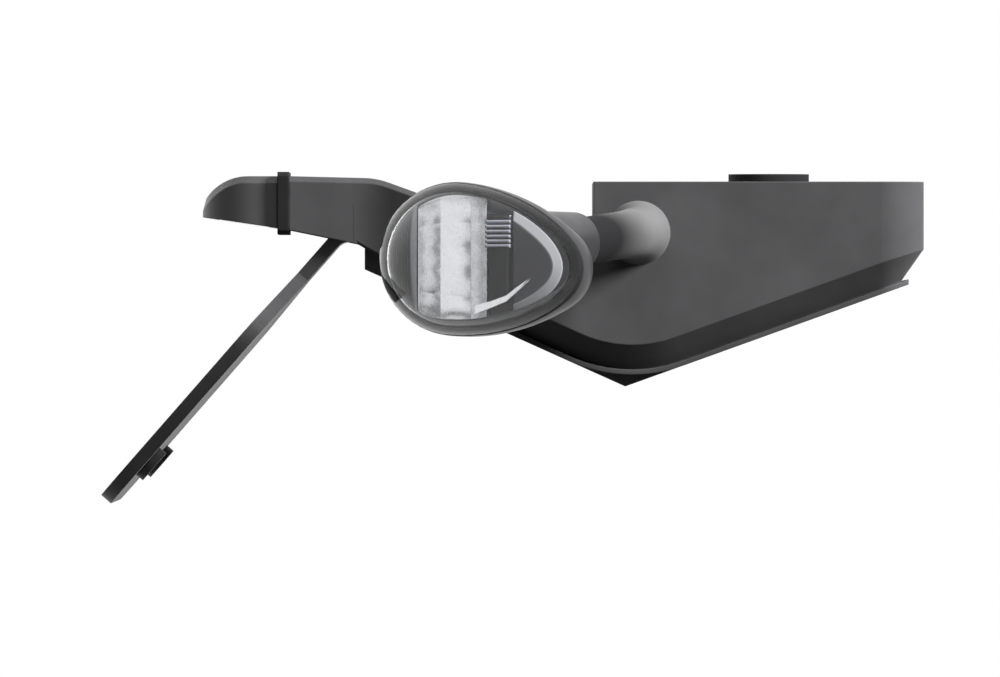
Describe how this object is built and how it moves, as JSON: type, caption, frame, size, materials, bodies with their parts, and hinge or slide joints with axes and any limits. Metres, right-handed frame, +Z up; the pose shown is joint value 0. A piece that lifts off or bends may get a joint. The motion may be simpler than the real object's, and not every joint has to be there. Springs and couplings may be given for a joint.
{
  "type": "tail tidy",
  "caption": "Moulded bracket that bolts under a motorbike's tail and carries a folded number plate holder, a small plate light and egg-shaped indicators on rubber stems.",
  "frame": {"origin": "centre of the four tail bolts, on the shell's mounting face", "axes": "+X towards the front of the motorbike, +Y to its left, +Z up through the mounting face"},
  "size_m": [0.1923, 0.2596, 0.0776],
  "materials": {
    "shell_plastic": "fine moulded grain, matte",
    "cover_plastic": "fine moulded grain, matte",
    "holder_paint": "satin powder coat",
    "rubber": "matte",
    "steel": "zinc plated",
    "brass": "turned",
    "light_plastic": "satin black",
    "clear_lens": "clear moulded",
    "lamp_plastic": "gloss black",
    "lamp_lens": "lightly smoked",
    "bezel_plastic": "satin grey",
    "reflector_chrome": "vacuum plated",
    "board": "matte"
  },
  "bodies": {
    "root": {"shell": "shell_plastic", "mount_sleeves": "steel", "wiring_grommet": "rubber", "under_cover": "cover_plastic", "cover_screws": "steel", "plate_holder": "holder_paint", "plate_holder_inserts": "brass", "plate_holder_bolts": "steel", "plate_nuts": "holder_paint", "light_gasket": "rubber", "light_housing": "light_plastic", "light_lens": "clear_lens", "light_board": "board", "light_screws": "steel", "indicator_stems": "rubber", "indicator_studs": "steel", "indicator_washers": "steel", "indicator_nuts": "steel", "indicator_housings": "lamp_plastic", "indicator_seals": "rubber", "indicator_lenses": "lamp_lens", "indicator_bezels": "bezel_plastic", "indicator_reflectors": "reflector_chrome", "indicator_boards": "board"}
  },
  "joints": []
}
